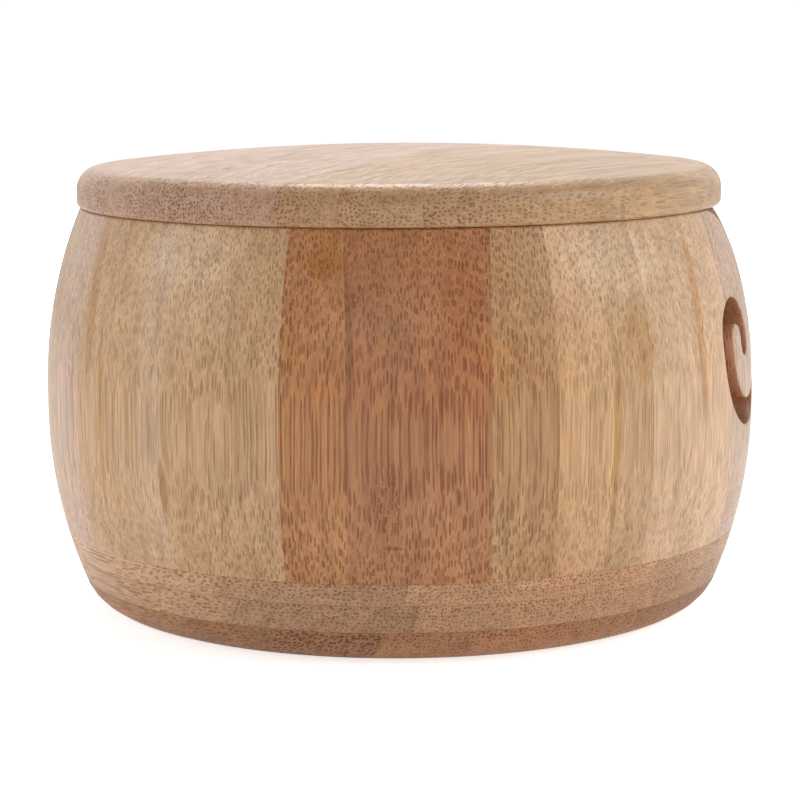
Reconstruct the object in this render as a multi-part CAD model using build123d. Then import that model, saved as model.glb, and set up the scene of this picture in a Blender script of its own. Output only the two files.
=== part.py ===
"""Lidded bamboo yarn bowl: a coopered barrel wall on a laminated base, with a swirl slot for the yarn.

Frame: millimetres, origin at the middle of the underside, +Z up, +X through the middle of the yarn slot.
Angles are counted from +X, counter-clockwise seen from above.
"""
from build123d import *
import os
from math import asin, cos, degrees, radians, sqrt

# Barrel: two side arcs joined by a straight band at the belly.
belly_radius = 75.0
belly_height = 44.5
belly_band = 4.0
side_arc_radius = 96.0
rim_height = 84.3
wall = 8.0
floor_thickness = 10.0
bottom_edge_radius = 9.5
inner_corner_radius = 12.0
rim_outer_ease = 0.8
rim_inner_ease = 1.0

# Base: boards stacked from the underside up, glued face to face.
base_boards = {"base_board_bottom": 6.9, "base_board_middle": 5.7, "base_board_top": 4.5}

# Wall: staves glued edge to edge. The three at the front have their own widths, in degrees,
# listed clockwise from the seam beside the yarn slot. The others share the rest equally.
front_stave_angles = (40.1, 41.5, 41.9)
other_staves = 6

# Yarn slot: a wide mouth at the rim narrows between two arcs to a channel of one width. The channel runs down
# the right side, turns under the hook, climbs the left side and curls over the hook's tip into a short tail.
# The crests are how far the arcs would rise above the rim.
slot_width = 5.4
slot_hook_right = 8.5
shoulder_radius = 20.0
shoulder_crest = 0.4
bend_radius = 10.8
bend_drop = 28.3
tip_radius = 3.0
tip_drop = 26.0
tail_length = 1.3
mouth_radius = 24.0
mouth_crest = 3.0
seam_to_hook = 0.3

# Lid: one board of glued strips, turned with a low dome and a step that drops inside the rim.
lid_thickness = 12.0
lid_edge_height = 7.8
lid_overhang = 0.7
lid_top_radius = 4.6
lid_bottom_radius = 1.2
step_depth = 4.0
step_clearance = 0.8
step_ease = 0.8
lid_grain_angle = -110.0
lid_joints = (-55.0, -42.0, -28.6, -16.0, -3.0, 16.8, 28.4, 42.0)

# Room beyond the model for the tools that cut it.
reach = 200.0


def side_radius(height, inset=0.0):
    """Radius of the barrel's side at a height, moved towards the axis by the inset."""
    rise = max(abs(height - belly_height) - belly_band / 2, 0.0)
    return belly_radius - side_arc_radius + sqrt((side_arc_radius - inset) ** 2 - rise ** 2)


def side_curve(low, high, inset=0.0):
    """The barrel's side as an arc, the straight band and an arc."""
    def point(height):
        return (side_radius(height, inset), height)

    band_low = belly_height - belly_band / 2
    band_high = belly_height + belly_band / 2
    lower = ThreePointArc(point(low), point((low + band_low) / 2), point(band_low))
    band = Line(point(band_low), point(band_high))
    upper = ThreePointArc(point(band_high), point((band_high + high) / 2), point(high))
    return lower + band + upper


def round_corner(sketch, corner, radius):
    """Round the sketch's vertex nearest to a point."""
    vertex = sketch.vertices().sort_by_distance(Vector(*corner))[0]
    return fillet(vertex, radius)


def bowl_section():
    """Half section of the turned bowl, in radius and height."""
    bottom = (side_radius(0), 0)
    rim_outer = (side_radius(rim_height), rim_height)
    rim_inner = (side_radius(rim_height, wall), rim_height)
    corner = (side_radius(floor_thickness, wall), floor_thickness)
    outline = Line((0, 0), bottom)
    outline += side_curve(0, rim_height)
    outline += Line(rim_outer, rim_inner)
    outline += side_curve(floor_thickness, rim_height, wall)
    outline += Line(corner, (0, floor_thickness))
    outline += Line((0, floor_thickness), (0, 0))
    section = make_face(outline.edges())
    section = round_corner(section, bottom, bottom_edge_radius)
    section = round_corner(section, corner, inner_corner_radius)
    section = round_corner(section, rim_outer, rim_outer_ease)
    return round_corner(section, rim_inner, rim_inner_ease)


def turned(section, low, high, start=0.0, sweep=360.0):
    """The solid that the part of a section between two heights makes when turned through a sweep."""
    band = Pos(reach / 2, (low + high) / 2) * Rectangle(reach, high - low)
    piece = revolve(Plane.XZ * (section & band), Axis.Z, revolution_arc=sweep)
    return Rot(0, 0, start) * piece


def slot_outline():
    """The yarn slot seen along -X, across and up, with its mouth carried on above the rim."""
    shoulder = (slot_hook_right - shoulder_radius, rim_height + shoulder_crest - shoulder_radius)
    bend = (slot_hook_right - bend_radius, rim_height - bend_drop)
    hook_left = slot_hook_right - 2 * bend_radius
    tip = (hook_left + tip_radius, rim_height - tip_drop)
    tail = (tip[0] + tip_radius + slot_width / 2, tip[1] - tail_length)
    bend_outer = bend_radius + slot_width
    curl_outer = tip_radius + slot_width
    right_wall = slot_hook_right + slot_width
    mouth = (right_wall + mouth_radius, rim_height + mouth_crest - mouth_radius)
    hook_turn = degrees(asin((rim_height - shoulder[1]) / shoulder_radius))
    mouth_turn = degrees(asin((rim_height - mouth[1]) / mouth_radius))
    hook_start = shoulder[0] + shoulder_radius * cos(radians(hook_turn))
    mouth_end = mouth[0] - mouth_radius * cos(radians(mouth_turn))
    above = rim_height + wall
    outline = CenterArc(shoulder, shoulder_radius, 0, hook_turn)
    outline += Line((slot_hook_right, shoulder[1]), (slot_hook_right, bend[1]))
    outline += CenterArc(bend, bend_radius, 180, 180)
    outline += Line((hook_left, bend[1]), (hook_left, tip[1]))
    outline += CenterArc(tip, tip_radius, 0, 180)
    outline += Line((tip[0] + tip_radius, tip[1]), (tip[0] + tip_radius, tail[1]))
    outline += CenterArc(tail, slot_width / 2, 180, 180)
    outline += Line((tail[0] + slot_width / 2, tail[1]), (tip[0] + curl_outer, tip[1]))
    outline += CenterArc(tip, curl_outer, 0, 180)
    outline += Line((tip[0] - curl_outer, tip[1]), (hook_left - slot_width, bend[1]))
    outline += CenterArc(bend, bend_outer, 180, 180)
    outline += Line((right_wall, bend[1]), (right_wall, mouth[1]))
    outline += CenterArc(mouth, mouth_radius, 180 - mouth_turn, mouth_turn)
    outline += Line((mouth_end, rim_height), (mouth_end, above))
    outline += Line((mouth_end, above), (hook_start, above))
    outline += Line((hook_start, above), (hook_start, rim_height))
    return make_face(outline.edges())


def slot_seam_angle():
    """Angle of the stave seam that runs into the slot's left side, just clear of the hook."""
    hook_left = 2 * bend_radius - slot_hook_right
    inner = side_radius(rim_height - tip_drop, wall)
    return -degrees(asin((hook_left + seam_to_hook) / inner))


def make_base(section):
    """The base boards, from the underside up."""
    boards = {}
    low = 0.0
    for name, thickness in base_boards.items():
        boards[name] = turned(section, low, low + thickness)
        low += thickness
    return boards


def make_wall(section):
    """The staves. The slot leaves the slotted stave in two pieces: the stave and the hook."""
    low = sum(base_boards.values())
    seam = slot_seam_angle()
    slot = extrude(Plane.YZ * slot_outline(), reach)
    staves = {}
    other_angle = (360.0 - sum(front_stave_angles)) / other_staves
    start = seam
    for number in range(1, other_staves):
        start += other_angle
        staves[f"stave_back_{number}"] = turned(section, low, rim_height, start, other_angle)
    start = seam
    for number, angle in enumerate(front_stave_angles, 1):
        start -= angle
        staves[f"stave_front_{number}"] = turned(section, low, rim_height, start, angle)
    staves["stave_front_1"] -= slot
    pieces = (turned(section, low, rim_height, seam, other_angle) - slot).solids()
    staves["slot_hook"], staves["stave_slotted"] = pieces.sort_by(SortBy.VOLUME)
    return staves


def lid_section():
    """Half section of the lid, in radius and height."""
    radius = side_radius(rim_height) + lid_overhang
    step = side_radius(rim_height, wall) - step_clearance
    edge_top = rim_height + lid_edge_height
    crown = rim_height + lid_thickness
    rise = crown - edge_top
    dome = (radius ** 2 + rise ** 2) / (2 * rise)
    halfway = crown - dome + sqrt(dome ** 2 - (radius / 2) ** 2)
    outline = Polyline((0, crown), (0, rim_height - step_depth), (step, rim_height - step_depth),
                       (step, rim_height), (radius, rim_height), (radius, edge_top))
    outline += ThreePointArc((radius, edge_top), (radius / 2, halfway), (0, crown))
    section = make_face(outline.edges())
    section = round_corner(section, (step, rim_height - step_depth), step_ease)
    section = round_corner(section, (radius, rim_height), lid_bottom_radius)
    return round_corner(section, (radius, edge_top), lid_top_radius)


def make_lid():
    """The lid's strips: the turned lid parted along its glue joints, which run with the grain."""
    lid = turned(lid_section(), rim_height - step_depth, rim_height + lid_thickness)
    radius = side_radius(rim_height) + lid_overhang
    edges = (-radius - wall, *lid_joints, radius + wall)
    strips = {}
    for number, (left, right) in enumerate(zip(edges[:-1], edges[1:]), 1):
        slab = Pos(0, (left + right) / 2, rim_height) * Box(2 * reach, right - left, reach)
        strips[f"lid_strip_{number}"] = lid & (Rot(0, 0, lid_grain_angle) * slab)
    return strips


def main():
    section = bowl_section()
    nodes = {**make_base(section), **make_wall(section), **make_lid()}
    os.makedirs("parts", exist_ok=True)
    for name, shape in nodes.items():
        export_step(shape, f"parts/{name}.step")


main()
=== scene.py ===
"""Looks for the lidded bamboo yarn bowl: turned, glued and lacquered bamboo on a pale studio floor.

Lengths are in millimetres up to the point where a mesh is made, which is in metres.
"""
import bpy
import bmesh
import math
import random
import numpy as np
from mathutils import Matrix, Vector
from mathutils.geometry import delaunay_2d_cdt


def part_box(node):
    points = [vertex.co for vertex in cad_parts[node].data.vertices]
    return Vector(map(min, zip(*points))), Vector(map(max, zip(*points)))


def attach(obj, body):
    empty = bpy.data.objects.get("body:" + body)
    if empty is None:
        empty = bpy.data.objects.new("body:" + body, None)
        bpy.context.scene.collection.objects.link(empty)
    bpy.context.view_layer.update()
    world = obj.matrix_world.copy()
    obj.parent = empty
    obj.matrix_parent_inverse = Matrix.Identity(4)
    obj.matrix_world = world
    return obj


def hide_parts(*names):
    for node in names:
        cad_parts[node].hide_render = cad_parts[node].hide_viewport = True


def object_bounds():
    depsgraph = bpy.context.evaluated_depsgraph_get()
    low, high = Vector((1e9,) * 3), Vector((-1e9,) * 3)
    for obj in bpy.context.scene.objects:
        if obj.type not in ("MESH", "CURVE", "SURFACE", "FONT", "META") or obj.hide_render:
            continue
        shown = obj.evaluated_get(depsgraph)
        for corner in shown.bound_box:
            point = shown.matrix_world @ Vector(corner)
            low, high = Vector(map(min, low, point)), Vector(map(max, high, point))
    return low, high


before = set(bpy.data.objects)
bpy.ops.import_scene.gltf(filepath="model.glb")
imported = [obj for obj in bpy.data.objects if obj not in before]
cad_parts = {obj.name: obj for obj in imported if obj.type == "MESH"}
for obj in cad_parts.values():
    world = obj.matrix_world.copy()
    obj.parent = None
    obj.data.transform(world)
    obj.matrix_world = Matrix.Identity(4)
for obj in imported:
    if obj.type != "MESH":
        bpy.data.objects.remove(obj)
cad_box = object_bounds()

MM = 0.001

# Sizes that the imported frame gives.
LID_STRIPS = sorted(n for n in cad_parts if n.startswith("lid_strip"))
STAVES = sorted(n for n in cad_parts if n.startswith("stave"))
BOARDS = ["base_board_bottom", "base_board_middle", "base_board_top"]
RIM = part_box("stave_back_1")[1].z / MM
WALL_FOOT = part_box("base_board_top")[1].z / MM
BELLY_RADIUS = (cad_box[1].x - cad_box[0].x) / 2 / MM
LID_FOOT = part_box("lid_strip_6")[0].z / MM
LID_CROWN = cad_box[1].z / MM

# Shape of the barrel, as in the CAD model.
BELLY_HEIGHT = 44.5
BELLY_BAND = 4.0
SIDE_ARC = 96.0
WALL = 8.0
FLOOR_TOP = 10.0
BOTTOM_EDGE = 9.5
INNER_CORNER = 12.0
RIM_OUTER_EASE = 0.8
RIM_INNER_EASE = 1.0

# Yarn slot.
SLOT_WIDTH = 5.4
HOOK_RIGHT = 8.5
SHOULDER = 20.0
SHOULDER_CREST = 0.4
BEND = 10.8
BEND_DROP = 28.3
TIP = 3.0
TIP_DROP = 26.0
TAIL = 1.3
MOUTH = 24.0
MOUTH_CREST = 3.0
SLOT_EASE = 0.45

# Lid.
LID_EDGE = 7.8
LID_OVERHANG = 0.7
LID_TOP_ROUND = 4.6
LID_BOTTOM_ROUND = 1.2
STEP_CLEARANCE = 0.8
STEP_EASE = 0.8
LID_GRAIN = math.radians(-110.0)
LID_REACH = 65.0

# Mesh fineness.
RISE_STEP = 1.6
TURN_STEP = math.radians(1.25)
ARC_STEPS = 7
SLOT_STEP = 0.55
EASE_STEPS = 3
WALL_COLUMNS = 6
LATHE_SEGMENTS = 288
DISC_RINGS = 14
CAVITY_RINGS = 12
CROWN_RINGS = 30
SHARP_ANGLE = math.radians(38)
WELD = 0.002


# ---------------------------------------------------------------- profile
def side_radius(height, inset=0.0):
    """Radius of the barrel's side at a height, moved towards the axis by the inset."""
    rise = max(abs(height - BELLY_HEIGHT) - BELLY_BAND / 2, 0.0)
    return BELLY_RADIUS - SIDE_ARC + math.sqrt((SIDE_ARC - inset) ** 2 - rise ** 2)


def ease_centre(height, arc_radius):
    """Centre of an edge's rounding at a height, that touches the side arc from the circle of arc_radius."""
    rise = max(abs(height - BELLY_HEIGHT) - BELLY_BAND / 2, 0.0)
    return (BELLY_RADIUS - SIDE_ARC + math.sqrt(arc_radius ** 2 - rise ** 2), height)


def touch_height(centre, radius, sign):
    """Height at which a rounding meets the side arc."""
    middle = BELLY_HEIGHT + math.copysign(BELLY_BAND / 2, centre[1] - BELLY_HEIGHT)
    across = centre[0] - (BELLY_RADIUS - SIDE_ARC)
    up = centre[1] - middle
    return centre[1] + sign * radius * up / math.hypot(across, up)


bottom_ease = ease_centre(BOTTOM_EDGE, SIDE_ARC - BOTTOM_EDGE)
rim_ease = ease_centre(RIM - RIM_OUTER_EASE, SIDE_ARC - RIM_OUTER_EASE)
mouth_ease = ease_centre(RIM - RIM_INNER_EASE, SIDE_ARC - WALL + RIM_INNER_EASE)
floor_ease = ease_centre(FLOOR_TOP + INNER_CORNER, SIDE_ARC - WALL - INNER_CORNER)
bottom_touch = touch_height(bottom_ease, BOTTOM_EDGE, 1)
rim_touch = touch_height(rim_ease, RIM_OUTER_EASE, 1)
mouth_touch = touch_height(mouth_ease, RIM_INNER_EASE, -1)
floor_touch = touch_height(floor_ease, INNER_CORNER, 1)


def on_ease(centre, radius, height, sign):
    return centre[0] + sign * math.sqrt(max(radius ** 2 - (height - centre[1]) ** 2, 0.0))


def outer_radius(height):
    if height < bottom_touch:
        return on_ease(bottom_ease, BOTTOM_EDGE, height, 1)
    if height > rim_touch:
        return on_ease(rim_ease, RIM_OUTER_EASE, height, 1)
    return side_radius(height)


def inner_radius(height):
    if height < floor_touch:
        return on_ease(floor_ease, INNER_CORNER, height, 1)
    if height > mouth_touch:
        return on_ease(mouth_ease, RIM_INNER_EASE, height, -1)
    return side_radius(height, WALL)


def heights(low, high, eases):
    """Heights from low to high, close together where a rounding (centre height, radius) turns."""
    found = set(np.linspace(low, high, max(2, round((high - low) / RISE_STEP) + 1)).tolist())
    for middle, radius, up in eases:
        for turn in np.linspace(0, math.pi / 2, ARC_STEPS + 1):
            height = middle + up * radius * math.sin(turn)
            if low < height < high:
                found = {h for h in found if abs(h - height) > radius / ARC_STEPS / 2 or h in (low, high)}
                found.add(height)
    return sorted(found)


def outer_line(low, high):
    eases = [(BOTTOM_EDGE, BOTTOM_EDGE, -1), (RIM - RIM_OUTER_EASE, RIM_OUTER_EASE, 1)]
    return [(outer_radius(h), h) for h in heights(low, high, eases)]


def inner_line(low, high):
    eases = [(FLOOR_TOP + INNER_CORNER, INNER_CORNER, -1), (RIM - RIM_INNER_EASE, RIM_INNER_EASE, 1)]
    return [(inner_radius(h), h) for h in heights(low, high, eases)]


def wall_line():
    """The wall's section from its foot outside, over the rim, to its foot inside."""
    outside = outer_line(WALL_FOOT, RIM)
    inside = inner_line(WALL_FOOT, RIM)
    flat = np.linspace(outside[-1][0], inside[-1][0], WALL_COLUMNS + 1)[1:-1]
    return outside + [(r, RIM) for r in flat] + inside[::-1]


# ---------------------------------------------------------------- meshes
def finish_mesh(bm, name, body, *nodes):
    """Makes the piece from a bmesh in millimetres, and puts it on its body in place of its CAD nodes."""
    bmesh.ops.remove_doubles(bm, verts=bm.verts, dist=WELD)
    bmesh.ops.recalc_face_normals(bm, faces=bm.faces)
    bmesh.ops.scale(bm, vec=(MM, MM, MM), verts=bm.verts)
    mesh = bpy.data.meshes.new(name)
    bm.to_mesh(mesh)
    bm.free()
    mesh.shade_smooth()
    mesh.set_sharp_from_angle(angle=SHARP_ANGLE)
    piece = bpy.data.objects.new(name, mesh)
    bpy.context.scene.collection.objects.link(piece)
    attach(piece, body)
    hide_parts(*nodes)
    return piece


def lathe(line):
    """A closed solid turned from a line that is closed or starts and ends on the axis."""
    bm = bmesh.new()
    rings = []
    for radius, height in line:
        if radius < 1e-6:
            rings.append([bm.verts.new((0, 0, height))])
            continue
        turns = (2 * math.pi * k / LATHE_SEGMENTS for k in range(LATHE_SEGMENTS))
        rings.append([bm.verts.new((radius * math.cos(t), radius * math.sin(t), height)) for t in turns])
    for low, high in zip(rings[:-1], rings[1:]):
        for k in range(LATHE_SEGMENTS):
            nxt = (k + 1) % LATHE_SEGMENTS
            corners = [low[k % len(low)], low[nxt % len(low)], high[nxt % len(high)], high[k % len(high)]]
            corners = list(dict.fromkeys(corners))
            if len(corners) > 2:
                bm.faces.new(corners)
    return bm


def close_cuts(bm):
    """Fills each open, flat edge loop."""
    open_edges = [e for e in bm.edges if e.is_boundary]
    made = bmesh.ops.holes_fill(bm, edges=open_edges, sides=0)["faces"]
    bmesh.ops.triangulate(bm, faces=made)


def keep_side(bm, point, normal):
    """Cuts the solid by a plane and keeps the side that the normal points to."""
    geometry = bm.verts[:] + bm.edges[:] + bm.faces[:]
    bmesh.ops.bisect_plane(bm, geom=geometry, dist=1e-4, plane_co=point, plane_no=normal, clear_inner=True)
    close_cuts(bm)


def node_points(node):
    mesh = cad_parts[node].data
    points = np.empty(len(mesh.vertices) * 3)
    mesh.vertices.foreach_get("co", points)
    return points.reshape(-1, 3) / MM


def stave_angles(node):
    """Start and end angle of a stave, read from the CAD node."""
    points = node_points(node)
    middle = points.mean(0)
    centre = math.atan2(middle[1], middle[0])
    turns = np.arctan2(points[:, 1], points[:, 0]) - centre
    turns = (turns + math.pi) % (2 * math.pi) - math.pi
    return centre + turns.min(), centre + turns.max()


def add_section_strip(bm, columns):
    """Faces between neighbouring columns of points."""
    for left, right in zip(columns[:-1], columns[1:]):
        for k in range(len(left) - 1):
            bm.faces.new((left[k], right[k], right[k + 1], left[k + 1]))


def wall_sector(start, end):
    """A plain stave: the wall's section turned from one angle to another, and closed."""
    bm = bmesh.new()
    line = wall_line()
    steps = max(2, round((end - start) / TURN_STEP))
    columns = []
    for turn in np.linspace(start, end, steps + 1):
        across, along = math.cos(turn), math.sin(turn)
        columns.append([bm.verts.new((r * across, r * along, z)) for r, z in line])
    add_section_strip(bm, columns)
    add_section_strip(bm, [(column[-1], column[0]) for column in columns])
    close_cuts(bm)
    return bm


# ---------------------------------------------------------------- yarn slot
def arc(centre, radius, start, sweep):
    """Points along an arc, angles in degrees, its first point left out."""
    count = max(2, round(abs(math.radians(sweep)) * radius / SLOT_STEP))
    turns = np.radians(np.linspace(start, start + sweep, count + 1))[1:]
    return [(centre[0] + radius * math.cos(t), centre[1] + radius * math.sin(t)) for t in turns]


def straight(start, end):
    """Points along a straight run, its first point left out."""
    count = max(1, round(math.dist(start, end) / SLOT_STEP))
    return [tuple(p) for p in np.linspace(start, end, count + 1)[1:]]


def slot_line():
    """The slot's edge, across and up, from the rim over the hook's shoulder and round to the rim again."""
    shoulder = (HOOK_RIGHT - SHOULDER, RIM + SHOULDER_CREST - SHOULDER)
    bend = (HOOK_RIGHT - BEND, RIM - BEND_DROP)
    hook_left = HOOK_RIGHT - 2 * BEND
    tip = (hook_left + TIP, RIM - TIP_DROP)
    tail = (tip[0] + TIP + SLOT_WIDTH / 2, tip[1] - TAIL)
    right_wall = HOOK_RIGHT + SLOT_WIDTH
    mouth = (right_wall + MOUTH, RIM + MOUTH_CREST - MOUTH)
    first = math.degrees(math.asin((RIM - shoulder[1]) / SHOULDER))
    last = math.degrees(math.asin((RIM - mouth[1]) / MOUTH))
    line = [(shoulder[0] + SHOULDER * math.cos(math.radians(first)), RIM)]
    line += arc(shoulder, SHOULDER, first, -first)
    line += straight(line[-1], (HOOK_RIGHT, bend[1]))
    line += arc(bend, BEND, 0, -180)
    line += straight(line[-1], (hook_left, tip[1]))
    line += arc(tip, TIP, 180, -180)
    line += straight(line[-1], (tip[0] + TIP, tail[1]))
    line += arc(tail, SLOT_WIDTH / 2, 180, 180)
    line += straight(line[-1], (tip[0] + TIP + SLOT_WIDTH, tip[1]))
    line += arc(tip, TIP + SLOT_WIDTH, 0, 180)
    line += straight(line[-1], (hook_left - SLOT_WIDTH, bend[1]))
    line += arc(bend, BEND + SLOT_WIDTH, 180, 180)
    line += straight(line[-1], (right_wall, mouth[1]))
    line += arc(mouth, MOUTH, 180, -last)
    return line


def turns_left(points):
    """Whether a closed loop in a plane runs counter-clockwise."""
    ahead = np.roll(points, -1, 0)
    return np.sum(points[:, 0] * ahead[:, 1] - ahead[:, 0] * points[:, 1]) > 0


def offset_loop(points, distance):
    """The steps that move a closed loop's points sideways, to the left of its direction."""
    ahead = np.roll(points, -1, 0) - points
    ahead /= np.linalg.norm(ahead, axis=1, keepdims=True)
    behind = np.roll(ahead, 1, 0)
    tangent = ahead + behind
    tangent /= np.linalg.norm(tangent, axis=1, keepdims=True)
    left = np.stack((-tangent[:, 1], tangent[:, 0]), 1)
    return left * distance


def inside(point, polygon):
    """Whether a point lies in a closed polygon."""
    x, y = point
    odd = False
    for (x0, y0), (x1, y1) in zip(polygon, np.roll(polygon, -1, 0)):
        if (y0 > y) != (y1 > y) and x < (x1 - x0) * (y - y0) / (y1 - y0) + x0:
            odd = not odd
    return odd


def slotted_wall(start, end):
    """The wall from one angle to another with the yarn slot cut through it along X, its edges eased."""
    line = np.array(wall_line())
    length = np.concatenate(([0], np.cumsum(np.linalg.norm(np.diff(line, axis=0), axis=1))))
    top = np.flatnonzero(line[:, 1] >= RIM - 1e-9)
    outer_top, inner_top = top[0], top[-1]
    edge = np.array(slot_line())
    edge[:, 1] = np.minimum(edge[:, 1], RIM)

    def along_outside(height):
        return np.interp(height, line[:outer_top + 1, 1], length[:outer_top + 1])

    def along_inside(height):
        return np.interp(-height, -line[inner_top:, 1], length[inner_top:])

    def radius_at(run):
        return np.interp(run, length, line[:, 0])

    def place(turn, run):
        radius = radius_at(run)
        height = np.interp(run, length, line[:, 1])
        return Vector((radius * math.cos(turn), radius * math.sin(turn), height))

    # The loop where the cut meets the turned surface: down the outside edge, over the rim on the right,
    # back along the inside edge and over the rim on the left.
    outside = [(y, along_outside(z)) for y, z in edge]
    over_right = [(edge[-1][0], run) for run in length[outer_top + 1:inner_top]]
    back_inside = [(y, along_inside(z)) for y, z in edge[::-1]]
    over_left = [(edge[0][0], run) for run in length[outer_top + 1:inner_top][::-1]]
    loop = np.array(outside + over_right + back_inside + over_left)
    count, columns = len(edge), inner_top - outer_top
    radii = radius_at(loop[:, 1])
    turns = np.arcsin(loop[:, 0] / radii)

    # Surface side of the easing: the loop moved into the wood, in the turned surface.
    flat = np.stack((turns * radii.mean(), loop[:, 1]), 1)
    shift = offset_loop(flat, -SLOT_EASE if turns_left(flat) else SLOT_EASE)
    hole = np.stack((turns + shift[:, 0] / radii, loop[:, 1] + shift[:, 1]), 1)

    # Cut side of the easing: the loop moved into the cut face, which is unrolled as depth and length.
    run_along = np.concatenate(([0], np.cumsum(np.linalg.norm(np.diff(edge, axis=0), axis=1))))
    depth = np.sqrt(radii ** 2 - loop[:, 0] ** 2)
    unrolled = np.stack((depth, np.concatenate((
        run_along, np.full(columns - 1, run_along[-1]), run_along[::-1], np.zeros(columns - 1)))), 1)
    cut = unrolled + offset_loop(unrolled, SLOT_EASE if turns_left(unrolled) else -SLOT_EASE)

    def cut_place(at):
        y = np.interp(at[1], run_along, edge[:, 0])
        z = np.interp(at[1], run_along, edge[:, 1])
        return Vector((at[0], y, z))

    bm = bmesh.new()
    rings = []
    for k in range(len(loop)):
        corner = place(turns[k], loop[k, 1])
        surface, face = place(*hole[k]), cut_place(cut[k])
        rings.append([surface.lerp(corner, t).lerp(corner.lerp(face, t), t)
                      for t in np.linspace(0, 1, EASE_STEPS + 1)])
    rings = [[bm.verts.new(p) for p in ring] for ring in rings]
    add_section_strip(bm, rings + rings[:1])

    # The cut face, across the wall from the outside edge to the inside edge.
    def row(k):
        first, last = rings[k][-1], rings[2 * count + columns - 2 - k][-1]
        if k == 0:
            between = [r[-1] for r in rings[:-columns:-1]]
        elif k == count - 1:
            between = [r[-1] for r in rings[count:count + columns - 1]]
        else:
            between = [bm.verts.new(first.co.lerp(last.co, n / columns)) for n in range(1, columns)]
        return [first] + between + [last]

    add_section_strip(bm, [row(k) for k in range(count)])

    # The turned surface round the slot.
    steps = round((end - start) / TURN_STEP)
    grid_turns = np.linspace(start, end, steps + 1)
    scale = radii.mean()
    points = [(t * scale, s) for t in grid_turns for s in length]
    rows = len(length)
    border = list(range(rows))
    border += [j * rows + rows - 1 for j in range(1, steps + 1)]
    border += [steps * rows + k for k in range(rows - 2, -1, -1)]
    border += [j * rows for j in range(steps - 1, 0, -1)]
    hole_flat = np.stack((hole[:, 0] * scale, hole[:, 1]), 1)
    close = SLOT_STEP * 0.9
    kept, places = [], {}
    on_border = set(border)
    low, high = hole_flat.min(0) - 2, hole_flat.max(0) + 2
    for k, p in enumerate(points):
        near = low[0] < p[0] < high[0] and low[1] < p[1] < high[1]
        if k not in on_border and near:
            if np.linalg.norm(hole_flat - p, axis=1).min() < close or inside(p, hole_flat):
                continue
        places[k] = len(kept)
        kept.append(p)
    first = len(kept)
    kept += [tuple(p) for p in hole_flat]
    edges = [(places[a], places[b]) for a, b in zip(border, border[1:] + border[:1])]
    ring_ids = list(range(first, len(kept)))
    edges += list(zip(ring_ids, ring_ids[1:] + ring_ids[:1]))
    made = delaunay_2d_cdt([Vector(p) for p in kept], edges, [], 1, 1e-5)
    made_points, made_faces, sources = made[0], made[2], made[3]
    verts = []
    for p, source in zip(made_points, sources):
        ring = [k for k in source if k >= first]
        verts.append(rings[ring[0] - first][0] if ring else bm.verts.new(place(p.x / scale, p.y)))
    surface_faces = []
    for face in made_faces:
        middle = sum((made_points[k] for k in face), Vector((0, 0))) / len(face)
        if low[0] < middle.x < high[0] and low[1] < middle.y < high[1] and inside(middle, hole_flat):
            continue
        surface_faces.append(bm.faces.new([verts[k] for k in face]))
    bmesh.ops.join_triangles(bm, faces=surface_faces, angle_face_threshold=0.3, angle_shape_threshold=0.5)

    # The foot.
    foot = [v for v in bm.verts if v.is_boundary and abs(v.co.z - WALL_FOOT) < 1e-4]
    foot.sort(key=lambda v: math.atan2(v.co.y, v.co.x))
    middle = sum(v.co.xy.length for v in foot) / len(foot)
    outer_foot = [v for v in foot if v.co.xy.length > middle]
    inner_foot = [v for v in foot if v.co.xy.length < middle]
    add_section_strip(bm, list(zip(inner_foot, outer_foot)))
    close_cuts(bm)
    return bm


def loose_parts(bm):
    """The separate solids of a bmesh, each as its own bmesh."""
    left = set(bm.verts)
    parts = []
    while left:
        todo, part = [left.pop()], set()
        while todo:
            v = todo.pop()
            part.add(v)
            for e in v.link_edges:
                other = e.other_vert(v)
                if other in left:
                    left.discard(other)
                    todo.append(other)
        copy = bm.copy()
        bm.verts.index_update()
        ids = {v.index for v in part}
        copy.verts.ensure_lookup_table()
        bmesh.ops.delete(copy, geom=[v for k, v in enumerate(copy.verts) if k not in ids], context="VERTS")
        parts.append(copy)
    return sorted(parts, key=lambda b: len(b.verts))


# ---------------------------------------------------------------- lid
def lid_line():
    """The lid's section from the middle of the step underneath, round the edge, to the crown."""
    radius = side_radius(RIM) + LID_OVERHANG
    step = side_radius(RIM, WALL) - STEP_CLEARANCE
    rise = LID_CROWN - RIM - LID_EDGE
    dome = (radius ** 2 + rise ** 2) / (2 * rise)
    dome_centre = LID_CROWN - dome
    top_centre = (radius - LID_TOP_ROUND,
                  dome_centre + math.sqrt((dome - LID_TOP_ROUND) ** 2 - (radius - LID_TOP_ROUND) ** 2))
    lean = math.degrees(math.atan2(top_centre[1] - dome_centre, top_centre[0]))

    def turn(centre, size, start, end, steps):
        angles = np.radians(np.linspace(start, end, steps + 1))
        return [(centre[0] + size * math.cos(a), centre[1] + size * math.sin(a)) for a in angles]

    line = [(r, LID_FOOT) for r in np.linspace(0, step - STEP_EASE, CAVITY_RINGS)[:-1]]
    line += turn((step - STEP_EASE, LID_FOOT + STEP_EASE), STEP_EASE, -90, 0, 4)
    line += [(step, LID_FOOT + (RIM - LID_FOOT) * 0.6), (step, RIM)]
    line += [(r, RIM) for r in np.linspace(step, radius - LID_BOTTOM_ROUND, 5)[1:-1]]
    line += turn((radius - LID_BOTTOM_ROUND, RIM + LID_BOTTOM_ROUND), LID_BOTTOM_ROUND, -90, 0, 6)
    line += turn(top_centre, LID_TOP_ROUND, 0, lean, 12)
    for r in np.linspace(dome * math.cos(math.radians(lean)), 0, CROWN_RINGS)[1:]:
        line.append((r, dome_centre + math.sqrt(dome ** 2 - r ** 2)))
    return line


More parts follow.
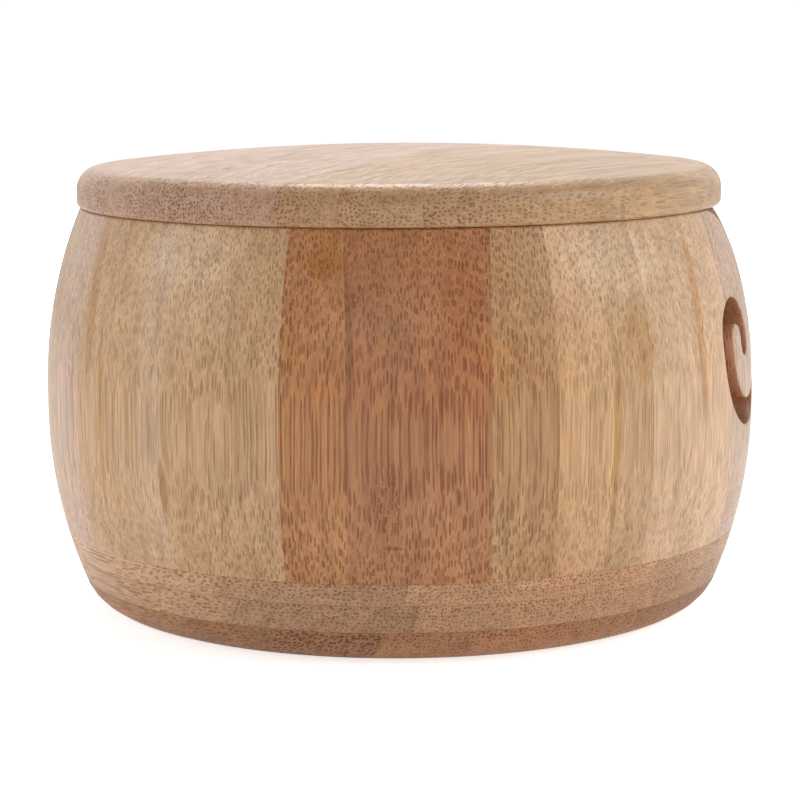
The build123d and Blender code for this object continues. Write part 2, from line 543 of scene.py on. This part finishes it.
def make_lid():
    """The lid's strips: one turned solid, parted where the CAD strips part. The outer two pass LID_REACH."""
    whole = lathe(lid_line())
    across = Vector((-math.sin(LID_GRAIN), math.cos(LID_GRAIN), 0))
    pieces = {}
    for name in LID_STRIPS:
        offsets = node_points(name) @ np.array(across)
        part = whole.copy()
        if offsets.min() > -LID_REACH:
            keep_side(part, across * offsets.min(), across)
        if offsets.max() < LID_REACH:
            keep_side(part, across * offsets.max(), -across)
        pieces[name] = finish_mesh(part, name.replace("lid_", "lid_bamboo_"), "lid", name)
    whole.free()
    return pieces


# ---------------------------------------------------------------- base
def make_base():
    """The base boards: a full disc, a disc with the cavity's floor in it, and a ring."""
    pieces = {}
    lows = [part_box(b)[0].z / MM for b in BOARDS] + [WALL_FOOT]
    for name, low, high in zip(BOARDS, lows[:-1], lows[1:]):
        outside = outer_line(max(low, 0.0), high)
        low_face = [(r, outside[0][1]) for r in np.linspace(0, outside[0][0], DISC_RINGS)[:-1]]
        if high <= FLOOR_TOP:
            high_face = [(r, high) for r in np.linspace(outside[-1][0], 0, DISC_RINGS)[1:]]
            bm = lathe(low_face + outside + high_face)
        elif low < FLOOR_TOP:
            cavity = inner_line(FLOOR_TOP, high)[::-1]
            floor = [(r, FLOOR_TOP) for r in np.linspace(cavity[-1][0], 0, CAVITY_RINGS)[1:]]
            bm = lathe(low_face + outside + cavity + floor)
        else:
            cavity = inner_line(low, high)[::-1]
            bm = lathe(outside + cavity + outside[:1])
        pieces[name] = finish_mesh(bm, name.replace("base_", "base_bamboo_"), "bowl", name)
    return pieces


def make_wall():
    """The staves and the hook."""
    pieces = {}
    for name in STAVES:
        if name not in ("stave_slotted", "stave_front_1"):
            bm = wall_sector(*stave_angles(name))
            pieces[name] = finish_mesh(bm, name.replace("stave", "stave_bamboo"), "bowl", name)
    start, seam = stave_angles("stave_front_1")
    both = slotted_wall(start, stave_angles("stave_slotted")[1])
    toward = Vector((-math.sin(seam), math.cos(seam), 0))
    left = both.copy()
    keep_side(left, Vector((0, 0, 0)), -toward)
    pieces["stave_front_1"] = finish_mesh(left, "stave_bamboo_front_1", "bowl", "stave_front_1")
    keep_side(both, Vector((0, 0, 0)), toward)
    hook, slotted = loose_parts(both)
    both.free()
    pieces["slot_hook"] = finish_mesh(hook, "hook_bamboo", "bowl", "slot_hook")
    pieces["stave_slotted"] = finish_mesh(slotted, "stave_bamboo_slotted", "bowl", "stave_slotted")
    return pieces


# ---------------------------------------------------------------- bamboo
# Fibre bundles: their spacing in the section in millimetres, and how unevenly they lie.
WALL_PITCH = 0.64
BOARD_PITCH = 0.78
SCATTER = 0.7

# A bundle's radius over the spacing, and how dark it is: the least, and what weight and chance add.
BUNDLE_SIZE = 0.15
SIZE_BY_WEIGHT = 0.09
SIZE_BY_CHANCE = 0.10
BUNDLE_DEPTH = 0.14
DEPTH_BY_WEIGHT = 0.72
BUNDLE_DARK = (0.60, 0.34, 0.17)
HALO_GAIN = 0.12
CROWD_LEAST = 0.55

# How the fibres sway, in millimetres, and the noise scales per millimetre across and along the grain.
SWAY = 1.8
SWAY_ACROSS = 0.09
SWAY_ALONG = 0.04
CLOUD_ACROSS = 0.35
CLOUD_ALONG = 0.12
KNOT_SCALE = 0.45
GAP_SCALE = 0.8
GAP_ALONG = 0.22
FINE_SCALE = 3.4
FINE_ALONG = 0.035
BROAD_ACROSS = 0.6
BROAD_ALONG = 0.025

# The ground's tone at the low and high end of each noise.
FINE_TONES = (0.74, 1.25)
BROAD_TONES = (0.82, 1.16)
CLOUD_TONES = (0.92, 1.07)
WARM_TONE = (1.0, 0.88, 0.72)
END_TONE = (0.76, 0.70, 0.65)
# The next tone darkens the slot's cut faces: their scorched colour, and painted shade inside the slot.
# CUT_FADE gives the heights over which it fades out towards the rim.
CUT_SCORCH_AND_SHADE = (0.90, 0.62, 0.42)
CUT_FADE = (RIM - 3, RIM - 14)
GLUE_TONE = 0.80
GLUE_HALF = 0.09
JOINT_TONE = 0.76
JOINT_EDGE = (0.03, 0.22)

# The lacquer.
ROUGHNESS = 0.34
ROUGHER_BUNDLE = 0.15
ROUGHER_GROUND = 0.14
ROUGHER_END = 0.10
COAT = 0.25
COAT_ROUGHNESS = 0.26
BUMP_STRENGTH = 0.9
BUMP_DISTANCE = 0.0002
BUNDLE_BUMP = -0.8
GROUND_BUMP = 0.35

# Steps that give each piece its own stretch of the noise and of the bundles.
NOISE_SHIFT = 7.3
BUNDLE_SHIFT = 13.7


class Graph:
    """Short names for building a node tree."""

    def __init__(self, tree):
        self.tree = tree

    def node(self, kind):
        return self.tree.nodes.new(kind)

    def put(self, socket, value):
        if isinstance(value, bpy.types.NodeSocket):
            self.tree.links.new(value, socket)
        elif value is not None:
            socket.default_value = value

    def math(self, operation, a, b=None, c=None, clamp=False):
        node = self.node("ShaderNodeMath")
        node.operation = operation
        node.use_clamp = clamp
        for socket, value in zip(node.inputs, (a, b, c)):
            self.put(socket, value)
        return node.outputs[0]

    def plus(self, a, b):
        return self.math("ADD", a, b)

    def less(self, a, b, clamp=False):
        return self.math("SUBTRACT", a, b, clamp=clamp)

    def times(self, a, b, clamp=False):
        return self.math("MULTIPLY", a, b, clamp=clamp)

    def scaled(self, a, factor, offset):
        return self.math("MULTIPLY_ADD", a, factor, offset)

    def dot(self, vector, direction):
        node = self.node("ShaderNodeVectorMath")
        node.operation = "DOT_PRODUCT"
        self.put(node.inputs[0], vector)
        self.put(node.inputs[1], tuple(direction))
        return node.outputs["Value"]

    def vector(self, x, y, z=0.0):
        node = self.node("ShaderNodeCombineXYZ")
        for socket, value in zip(node.inputs, (x, y, z)):
            self.put(socket, value)
        return node.outputs[0]

    def noise(self, vector, scale, detail, roughness=0.5):
        node = self.node("ShaderNodeTexNoise")
        self.put(node.inputs["Vector"], vector)
        self.put(node.inputs["Scale"], scale)
        self.put(node.inputs["Detail"], detail)
        self.put(node.inputs["Roughness"], roughness)
        return node.outputs["Fac"]

    def dots(self, vector, scale, scatter):
        node = self.node("ShaderNodeTexVoronoi")
        node.voronoi_dimensions = "2D"
        self.put(node.inputs["Vector"], vector)
        self.put(node.inputs["Scale"], scale)
        self.put(node.inputs["Randomness"], scatter)
        return node.outputs["Distance"], node.outputs["Color"]

    def channel(self, colour):
        node = self.node("ShaderNodeSeparateColor")
        self.put(node.inputs[0], colour)
        return node.outputs[0]

    def ramp(self, value, stops, interpolation="LINEAR"):
        node = self.node("ShaderNodeValToRGB")
        node.color_ramp.interpolation = interpolation
        elements = node.color_ramp.elements
        while len(elements) < len(stops):
            elements.new(1.0)
        for element, (position, colour) in zip(elements, stops):
            element.position = position
            element.color = (*colour, 1.0)
        self.put(node.inputs[0], value)
        return node.outputs[0]

    def tint(self, amount, colour, tone):
        """The colour times a tone, which is a colour or a socket, by an amount."""
        node = self.node("ShaderNodeMix")
        node.data_type = "RGBA"
        node.blend_type = "MULTIPLY"
        self.put(node.inputs["Factor"], amount)
        self.put(node.inputs["A"], colour)
        self.put(node.inputs["B"], (*tone, 1.0) if isinstance(tone, tuple) else tone)
        return node.outputs["Result"]

    def range(self, value, low, high, out_low=0.0, out_high=1.0, smooth=True):
        node = self.node("ShaderNodeMapRange")
        node.interpolation_type = "SMOOTHSTEP" if smooth else "LINEAR"
        for socket, number in zip(node.inputs, (value, low, high, out_low, out_high)):
            self.put(socket, number)
        return node.outputs[0]


def shade(colour, factor):
    return tuple(c * factor for c in colour)


def strip_stops(strips, low, high):
    """Ramp stops across the grain for the strips' tones, their bundles' weights and the glue between them."""
    span = high - low
    thin = GLUE_HALF / span
    tones, weights, glue = [], [], [(0.0, (1.0,) * 3)]
    ends = [s[0] for s in strips[1:]] + [high]
    for (start, tone, first, last), end in zip(strips, ends):
        at, to = (start - low) / span, (end - low) / span
        tones.append((at, tone))
        weights += [(at + 0.001, (first,) * 3), (to - 0.001, (last,) * 3)]
        if start > low:
            glue += [(at - thin, (1.0,) * 3), (at, (GLUE_TONE,) * 3), (at + thin, (1.0,) * 3)]
    return tones, weights, glue


def bamboo(name, grain, through, strips, low, high, seed, joints=(), crowd=None, pitch=BOARD_PITCH, soft=0.85,
           cut=False, patches=()):
    """Lacquered bamboo as a solid: fibre bundles run along the grain, and every face cuts them as it lies.

    grain and through are directions, and across is square to both. Each of the strips is (where it starts
    across the grain, tone, bundles' weight at its start, bundles' weight at its end); low and high bound them
    all. joints are glue lines along through. crowd is (low, high) along through of a board whose bundles
    crowd to its upper face. pitch is the bundles' spacing, and soft their depth on a face along the grain.
    cut darkens faces cut along X, the slot's faces, with their scorched colour and painted shade in the slot.
    Each of the marks, painted sheen among them, is (across, along, half width, half length, tint, swirl).
    """
    material = bpy.data.materials.new(name)
    material.use_nodes = True
    shader = material.node_tree.nodes["Principled BSDF"]
    g = Graph(material.node_tree)
    across = through.cross(grain)
    place = g.node("ShaderNodeTexCoord").outputs["Object"]
    u, v, w = (g.dot(place, tuple(d / MM)) for d in (across, through, grain))

    # Fibres wander a little, and swirl in a node scar.
    sway_at = g.vector(g.times(u, SWAY_ACROSS), g.scaled(v, SWAY_ACROSS, seed * NOISE_SHIFT),
                       g.times(w, SWAY_ALONG))
    sway = g.scaled(g.noise(sway_at, 1.0, 2.0), SWAY, -SWAY / 2)
    cloud_at = g.vector(g.times(u, CLOUD_ACROSS), g.times(v, CLOUD_ACROSS), g.scaled(w, CLOUD_ALONG, seed))
    clouds = g.noise(cloud_at, 1.0, 3.0, 0.6)
    tints, swirl = [], None
    for patch_u, patch_w, half_u, half_w, tone, turn in patches:
        du = g.math("DIVIDE", g.less(g.plus(u, sway), patch_u), half_u)
        dw = g.math("DIVIDE", g.less(w, patch_w), half_w)
        far = g.plus(g.times(du, du), g.times(dw, dw))
        ragged = g.scaled(clouds, 1.6, g.scaled(far, -1.0, -0.1))
        here = g.range(ragged, -0.35, 0.45)
        tints.append((here, tone))
        if turn:
            swirl = g.times(here, turn)
    shaken_u = g.plus(u, sway)
    shaken_v = g.scaled(sway, 0.5, v)
    if swirl is not None:
        knot = g.vector(g.times(u, KNOT_SCALE), v, g.times(w, KNOT_SCALE))
        twist = g.times(g.less(g.noise(knot, 1.0, 3.0), 0.5), swirl)
        shaken_u = g.plus(shaken_u, twist)
        shaken_v = g.plus(shaken_v, twist)
    section = g.vector(shaken_u, g.plus(shaken_v, seed * BUNDLE_SHIFT))

    # Tone, bundle weight and glue line of each strip.
    tones, weights, glue = strip_stops(strips, low, high)
    at = g.math("DIVIDE", g.less(u, low), high - low)
    colour = g.ramp(at, tones, "CONSTANT")
    weight = g.channel(g.ramp(at, weights))
    lines = g.channel(g.ramp(at, glue)) if len(glue) > 1 else None
    if crowd is not None:
        weight = g.times(weight, g.range(v, *crowd, CROWD_LEAST, 1.0, smooth=False))

    # The way each face lies to the grain.
    facing = g.node("ShaderNodeNewGeometry").outputs["Normal"]
    lean = g.dot(facing, grain)
    end = g.times(lean, lean)

    # Bundles: dark dots in the section, carried along the grain, each with a paler rim.
    distance, chance = g.dots(section, 1 / pitch, SCATTER)
    size = g.plus(g.scaled(weight, SIZE_BY_WEIGHT, BUNDLE_SIZE), g.times(g.channel(chance), SIZE_BY_CHANCE))
    reach = g.math("DIVIDE", distance, size)
    core = g.range(reach, 0.55, 0.1, 0.0, 0.5)
    dot = g.less(g.range(reach, 1.25, 0.75), core)
    halo = g.less(g.range(reach, 2.1, 1.3), dot, clamp=True)
    gap = g.noise(g.vector(shaken_u, shaken_v, g.scaled(w, GAP_ALONG, seed)), GAP_SCALE, 2.0)
    strength = g.times(g.scaled(weight, DEPTH_BY_WEIGHT, BUNDLE_DEPTH), g.range(gap, 0.3, 0.65, 0.4, 1.15))
    strength = g.times(strength, g.range(end, 0.0, 0.5, soft, 1.0))
    dark = g.times(dot, strength, clamp=True)

    # Ground tissue: fine and broad streaks along the grain, and slow clouds.
    fine = g.noise(g.vector(shaken_u, shaken_v, g.times(w, FINE_ALONG)), FINE_SCALE, 3.0, 0.65)
    broad_at = g.vector(g.times(shaken_u, BROAD_ACROSS), g.times(shaken_v, BROAD_ACROSS),
                        g.scaled(w, BROAD_ALONG, seed))
    broad = g.noise(broad_at, 1.0, 3.0, 0.6)
    value = g.times(g.range(fine, 0.25, 0.75, *FINE_TONES, smooth=False),
                    g.range(broad, 0.28, 0.72, *BROAD_TONES, smooth=False))
    value = g.times(value, g.range(clouds, 0.3, 0.7, *CLOUD_TONES, smooth=False))
    value = g.times(value, g.scaled(halo, HALO_GAIN, 1.0))
    if lines is not None:
        value = g.times(value, lines)
    for joint in joints:
        near = g.math("ABSOLUTE", g.less(v, joint))
        value = g.times(value, g.range(near, *JOINT_EDGE, JOINT_TONE, 1.0))
    colour = g.tint(1.0, colour, g.vector(value, value, value))
    colour = g.tint(g.range(broad, 0.5, 0.25, 0.0, 0.8), colour, WARM_TONE)
    colour = g.tint(dark, colour, BUNDLE_DARK)
    # The marks' tints; the pale, bluish ones are painted sheen and painted light.
    for here, tone in tints:
        colour = g.tint(here, colour, tone)

    # End grain drinks the lacquer and looks darker. The slot's cut faces are darker too, except by the rim:
    # their scorched colour, and painted shade inside the slot.
    colour = g.tint(end, colour, END_TONE)
    if cut:
        aside = g.math("ABSOLUTE", g.dot(facing, (1, 0, 0)))
        scorch_and_shade = g.times(g.range(aside, 0.75, 0.35), g.range(g.times(w, -1.0), *CUT_FADE))
        colour = g.tint(scorch_and_shade, colour, CUT_SCORCH_AND_SHADE)
    g.put(shader.inputs["Base Color"], colour)

    rough = g.scaled(dark, ROUGHER_BUNDLE, ROUGHNESS)
    rough = g.plus(rough, g.scaled(fine, ROUGHER_GROUND, g.times(end, ROUGHER_END)))
    g.put(shader.inputs["Roughness"], rough)
    g.put(shader.inputs["Coat Weight"], COAT)
    g.put(shader.inputs["Coat Roughness"], COAT_ROUGHNESS)
    bump = g.node("ShaderNodeBump")
    g.put(bump.inputs["Strength"], BUMP_STRENGTH)
    g.put(bump.inputs["Distance"], BUMP_DISTANCE)
    g.put(bump.inputs["Height"], g.scaled(dot, BUNDLE_BUMP, g.times(fine, GROUND_BUMP)))
    g.put(shader.inputs["Normal"], bump.outputs[0])
    return material


def dress(piece, material):
    """Puts a material on a piece."""
    piece.data.materials.append(material)


# Tones of the wood.
STRAW = (0.66, 0.42, 0.24)
HONEY = (0.60, 0.36, 0.18)
AMBER = (0.54, 0.29, 0.12)
RUSSET = (0.50, 0.22, 0.075)
UMBER = (0.45, 0.19, 0.07)
ROSE = (0.62, 0.40, 0.27)
PINK = (0.60, 0.375, 0.25)
EARTH_AND_SHADE = (0.42, 0.205, 0.09)
LOAM = (0.57, 0.335, 0.182)
BARK = (0.53, 0.31, 0.17)

# Tints of the marks on it, and a pale, bluish tint that is painted sheen.
OCHRE = (0.90, 0.78, 0.52)
STAIN = (0.72, 0.58, 0.42)
SHADOW = (0.76, 0.68, 0.60)
SCAR = (0.90, 0.82, 0.74)
RUDDY = (0.97, 0.88, 0.74)
TAWNY = (0.86, 0.70, 0.50)
# This tint is painted light: a paler, bluer sheen near the top of the front staves, standing for the
# lacquer's reflection of the room, and a paler band low on the middle stave, standing for light from below.
PAINTED_SHEEN = (1.10, 1.18, 1.28)

# The front staves' strips from left to right: degrees from the stave's left edge, tone, depth of the tone,
# and the weight of the fibre bundles at the strip's left and right edge.
FRONT_STRIPS = {
    "stave_front_3": [(0, HONEY, 1.0, 0.2, 0.4), (10, HONEY, 1.0, 0.3, 0.1), (16.5, STRAW, 0.92, 0.0, 0.2),
                      (22, HONEY, 1.0, 0.2, 0.6), (32.8, HONEY, 0.96, 0.3, 0.7)],
    "stave_front_2": [(0, RUSSET, 0.98, 1.2, 0.9), (10, UMBER, 0.95, 0.8, 1.0), (20.6, UMBER, 1.02, 1.0, 1.1),
                      (31.1, AMBER, 0.94, 0.9, 0.6)],
    "stave_front_1": [(0, HONEY, 1.1, 0.2, 0.4), (9.5, HONEY, 0.95, 0.3, 0.2), (17, STRAW, 1.0, 0.0, 0.3),
                      (29.4, STRAW, 1.08, 0.4, 0.0)],
}

# Marks on the front staves: degrees from the stave's left edge, height, half width, half length, tint, swirl.
# The pale, bluish patches among them are painted sheen and painted light, not marks on the wood.
FRONT_MARKS_AND_SHEEN = {
    "stave_front_3": [
        (3.0, 68, 2.0, 18, OCHRE, 0), (21.8, 33.5, 1.2, 6.5, STAIN, 0), (7.5, 44, 1.2, 22, OCHRE, 0),
        (22, 78, 15, 8, PAINTED_SHEEN, 0)],
    "stave_front_2": [
        (10.3, 63, 0.9, 17, SHADOW, 0), (5.8, 78, 5.0, 4.0, OCHRE, 0), (27, 72, 5.0, 12, RUDDY, 0),
        (15.8, 33, 4.0, 9.0, SCAR, 1.6), (16.6, 24.5, 2.4, 0.5, STAIN, 0), (20, 57, 26, 10, RUDDY, 0),
        (20, 24, 28, 12, PAINTED_SHEEN, 0)],
    "stave_front_1": [
        (29.9, 64, 1.6, 22, TAWNY, 0), (15, 62, 5.0, 9, RUDDY, 0), (10, 45, 1.0, 25, OCHRE, 0),
        (12, 77, 13, 8, PAINTED_SHEEN, 0)],
}

# The other staves have strips of these tones, by chance.
WALL_FAMILY = [STRAW, HONEY, AMBER, ROSE, STRAW, HONEY]
BASE_GRAIN = math.radians(-47.5)
# The bottom board's darker tone is partly painted shade, where the base's edge turns under towards the floor.
BOARD_TONES = {"base_board_bottom": EARTH_AND_SHADE, "base_board_middle": BARK, "base_board_top": LOAM}

# The base boards' strips: place across the grain and depth of the tone.
BASE_REACH = 78
BASE_STRIPS = [(-BASE_REACH, 1.12), (-62, 0.96), (-50, 1.0), (-34, 1.25), (-17, 1.37), (0, 1.32), (19, 1.16),
               (37, 1.04), (55, 1.06)]

# One strip of the bottom board has coarse, dark bundles.
COARSE_STRIP = ("base_board_bottom", -50)
COARSE_WEIGHT = 1.9

# Strips to each of the other staves, how faint the lid's bundles are along the grain, and where each group's
# seeds start.
BACK_STRIPS = 4
LID_SOFT = 0.45
SLOTTED_SEED = 3
WALL_SEED = 5
BASE_SEED = 20
LID_SEED = 40
UP = Vector((0, 0, 1))

# The lid's strips from left to right: tone, depth, and the bundles' weight at the left and right edge.
LID_LOOKS = [(PINK, 1.06, 1.1, 0.2), (PINK, 1.02, 1.2, 0.2), (PINK, 1.02, 0.5, 1.2), (PINK, 1.04, 0.2, 1.0),
             (PINK, 0.97, 0.7, 1.2), (PINK, 1.02, 1.1, 0.3), (HONEY, 0.95, 1.1, 0.2), (HONEY, 0.93, 1.0, 0.4),
             (HONEY, 0.90, 1.0, 0.2)]


def dress_stave(name, seed, strips, patches, cut, angles):
    """Bamboo for a stave, with its strips, marks and painted sheen placed by degrees from its left edge."""
    start, end = angles
    middle = (start + end) / 2
    through = Vector((math.cos(middle), math.sin(middle), 0))
    half = BELLY_RADIUS * math.sin((end - start) / 2)

    def across(degrees, radius=BELLY_RADIUS):
        return radius * math.sin(math.radians(degrees) - (end - start) / 2)

    edges = [(max(across(d), -half), shade(tone, depth), a, b) for d, tone, depth, a, b in strips]
    spots = [(across(d, outer_radius(z)), -z, hw, hl, tint, turn) for d, z, hw, hl, tint, turn in patches]
    look = bamboo(name, Vector((0, 0, -1)), through, edges, -half, half, seed, pitch=WALL_PITCH,
                  cut=cut, patches=spots)
    dress(wall[name], look)


def dress_wall(pick):
    """The staves, the slotted one and its hook last: the two are one board, and share their strips."""
    slotted = (stave_angles("stave_front_1")[1], stave_angles("stave_slotted")[1])
    share = math.degrees(slotted[1] - slotted[0]) / BACK_STRIPS
    for count, name in enumerate(STAVES + ["slot_hook"]):
        if name in FRONT_STRIPS:
            strips, patches = FRONT_STRIPS[name], FRONT_MARKS_AND_SHEEN[name]
        elif name != "slot_hook":
            patches = []
            strips = [(k * share, pick.choice(WALL_FAMILY), pick.uniform(0.9, 1.05), pick.uniform(0.1, 0.5),
                       pick.uniform(0.1, 0.5)) for k in range(BACK_STRIPS)]
        if name in ("slot_hook", "stave_slotted"):
            dress_stave(name, SLOTTED_SEED, strips, patches, True, slotted)
        else:
            dress_stave(name, WALL_SEED + count, strips, patches, name == "stave_front_1", stave_angles(name))


def dress_base(pick):
    """The boards, each with its strips shifted a little."""
    grain = Vector((math.cos(BASE_GRAIN), math.sin(BASE_GRAIN), 0))
    for count, name in enumerate(BOARDS):
        faces = (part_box(name)[0].z / MM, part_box(name)[1].z / MM)
        shift = pick.uniform(-5, 5)
        strips = []
        for edge, depth in BASE_STRIPS:
            weight = COARSE_WEIGHT if (name, edge) == COARSE_STRIP else 1.0
            start = edge + shift if edge > -BASE_REACH else edge
            strips.append((start, shade(BOARD_TONES[name], depth), weight, weight))
        look = bamboo(name, grain, UP, strips, -BASE_REACH, BASE_REACH, BASE_SEED + count,
                      joints=faces, crowd=faces)
        dress(base[name], look)


def dress_lid():
    """The lid's strips, one tone to each."""
    grain = Vector((math.cos(LID_GRAIN), math.sin(LID_GRAIN), 0))
    across = UP.cross(grain)
    for count, name in enumerate(LID_STRIPS):
        offsets = node_points(name) @ np.array(across)
        low, high = float(offsets.min()), float(offsets.max())
        tone, depth, first, last = LID_LOOKS[count]
        strips = [(low, shade(tone, depth), first, last)]
        look = bamboo(name, grain, UP, strips, low, high, LID_SEED + count, soft=LID_SOFT)
        dress(lid[name], look)


wall = make_wall()
base = make_base()
lid = make_lid()
pick = random.Random(11)
dress_wall(pick)
dress_base(pick)
dress_lid()

# ---------------------------------------------------------------- camera
CAMERA_TURN = math.radians(-75.5)
CAMERA_BACK = 0.5471
CAMERA_HEIGHT = 0.12394
CAMERA_PITCH = 0.14905
CAMERA_ROLL = -0.00533
CAMERA_SENSOR = 36
CAMERA_LENS = 115.7
camera = bpy.data.objects.new("camera", bpy.data.cameras.new("camera"))
bpy.context.scene.collection.objects.link(camera)
camera.data.sensor_width = CAMERA_SENSOR
camera.data.lens = CAMERA_LENS
camera.location = (CAMERA_BACK * math.cos(CAMERA_TURN), CAMERA_BACK * math.sin(CAMERA_TURN), CAMERA_HEIGHT)
facing = Matrix.Rotation(CAMERA_TURN + math.pi / 2, 4, "Z")
tilt = Matrix.Rotation(math.pi / 2 - CAMERA_PITCH, 4, "X")
roll = Matrix.Rotation(CAMERA_ROLL, 4, "Z")
camera.matrix_world = Matrix.Translation(camera.location) @ facing @ tilt @ roll
camera.data.clip_start = 0.05
camera.data.clip_end = 100
bpy.context.scene.camera = camera

# ---------------------------------------------------------------- stage
FLOOR_HALF = 40
FLOOR_LEVEL = -0.00005
PAPER_WHITE = (0.9, 0.9, 0.9, 1)
PAPER_ROUGHNESS = 0.9
PAPER_GLOW = 0.2
PAPER_GLOW_SEEN = 0.5
WHITE = (1, 1, 1, 1)
corners = [(x * FLOOR_HALF, y * FLOOR_HALF, FLOOR_LEVEL) for x, y in ((-1, -1), (1, -1), (1, 1), (-1, 1))]
floor_mesh = bpy.data.meshes.new("floor")
floor_mesh.from_pydata(corners, [], [(0, 1, 2, 3)])
floor = bpy.data.objects.new("floor", floor_mesh)
bpy.context.scene.collection.objects.link(floor)
paper = bpy.data.materials.new("paper")
paper.use_nodes = True
sheet = paper.node_tree.nodes["Principled BSDF"]
sheet.inputs["Base Color"].default_value = PAPER_WHITE
sheet.inputs["Roughness"].default_value = PAPER_ROUGHNESS
sheet.inputs["Specular IOR Level"].default_value = 0.0
sheet.inputs["Emission Color"].default_value = WHITE

# The paper glows a little, and to the eye it is as white as the room.
page = Graph(paper.node_tree)
seen = page.node("ShaderNodeLightPath").outputs["Is Camera Ray"]
page.put(sheet.inputs["Emission Strength"], page.scaled(seen, PAPER_GLOW_SEEN, PAPER_GLOW))

# From underneath it is clear, so that the bowl's underside can be seen.
under = page.node("ShaderNodeNewGeometry").outputs["Backfacing"]
clear = page.node("ShaderNodeBsdfTransparent").outputs[0]
both = page.node("ShaderNodeMixShader")
for socket, value in zip(both.inputs, (under, sheet.outputs[0], clear)):
    page.put(socket, value)
page.put(paper.node_tree.nodes["Material Output"].inputs["Surface"], both.outputs[0])
floor_mesh.materials.append(paper)

# The room: white all round to the eye; as light it is bright behind the bowl, dim before it and above it.
ROOM_FRONT = 0.25
ROOM_BACK = 1.05
ROOM_ABOVE = 0.30
world = bpy.data.worlds.new("world")
world.use_nodes = True
room = Graph(world.node_tree)
background = world.node_tree.nodes["Background"]
background.inputs["Color"].default_value = WHITE
toward = room.node("ShaderNodeTexCoord").outputs["Generated"]
behind = room.dot(toward, (-math.cos(CAMERA_TURN), -math.sin(CAMERA_TURN), 0))
height = room.dot(toward, UP)
light = room.times(room.range(behind, -0.7, 0.8, ROOM_FRONT, ROOM_BACK),
                   room.range(height, 0.25, 0.95, 1.0, ROOM_ABOVE))
seen = room.node("ShaderNodeLightPath").outputs["Is Camera Ray"]
room.put(background.inputs["Strength"], room.math("MAXIMUM", light, seen))
bpy.context.scene.world = world


def softbox(name, turn, tilt_up, distance, size, power):
    """A square area light that looks at the bowl's middle."""
    data = bpy.data.lights.new(name, "AREA")
    data.shape = "SQUARE"
    data.size = size
    data.energy = power
    lamp = bpy.data.objects.new(name, data)
    bpy.context.scene.collection.objects.link(lamp)
    a, e = CAMERA_TURN + math.radians(turn), math.radians(tilt_up)
    away = Vector((math.cos(a) * math.cos(e), math.sin(a) * math.cos(e), math.sin(e)))
    lamp.location = Vector((0, 0, 0.045)) + away * distance
    lamp.rotation_euler = away.to_track_quat("Z", "Y").to_euler()


softbox("right", 66, 30, 1.1, 0.6, 3.8)
softbox("left", -72, 24, 1.2, 0.6, 2.8)
softbox("overhead", 180, 60, 1.0, 0.45, 5.6)
softbox("front", -5, 6, 1.6, 0.9, 3.9)

bpy.context.scene.view_settings.view_transform = "Standard"
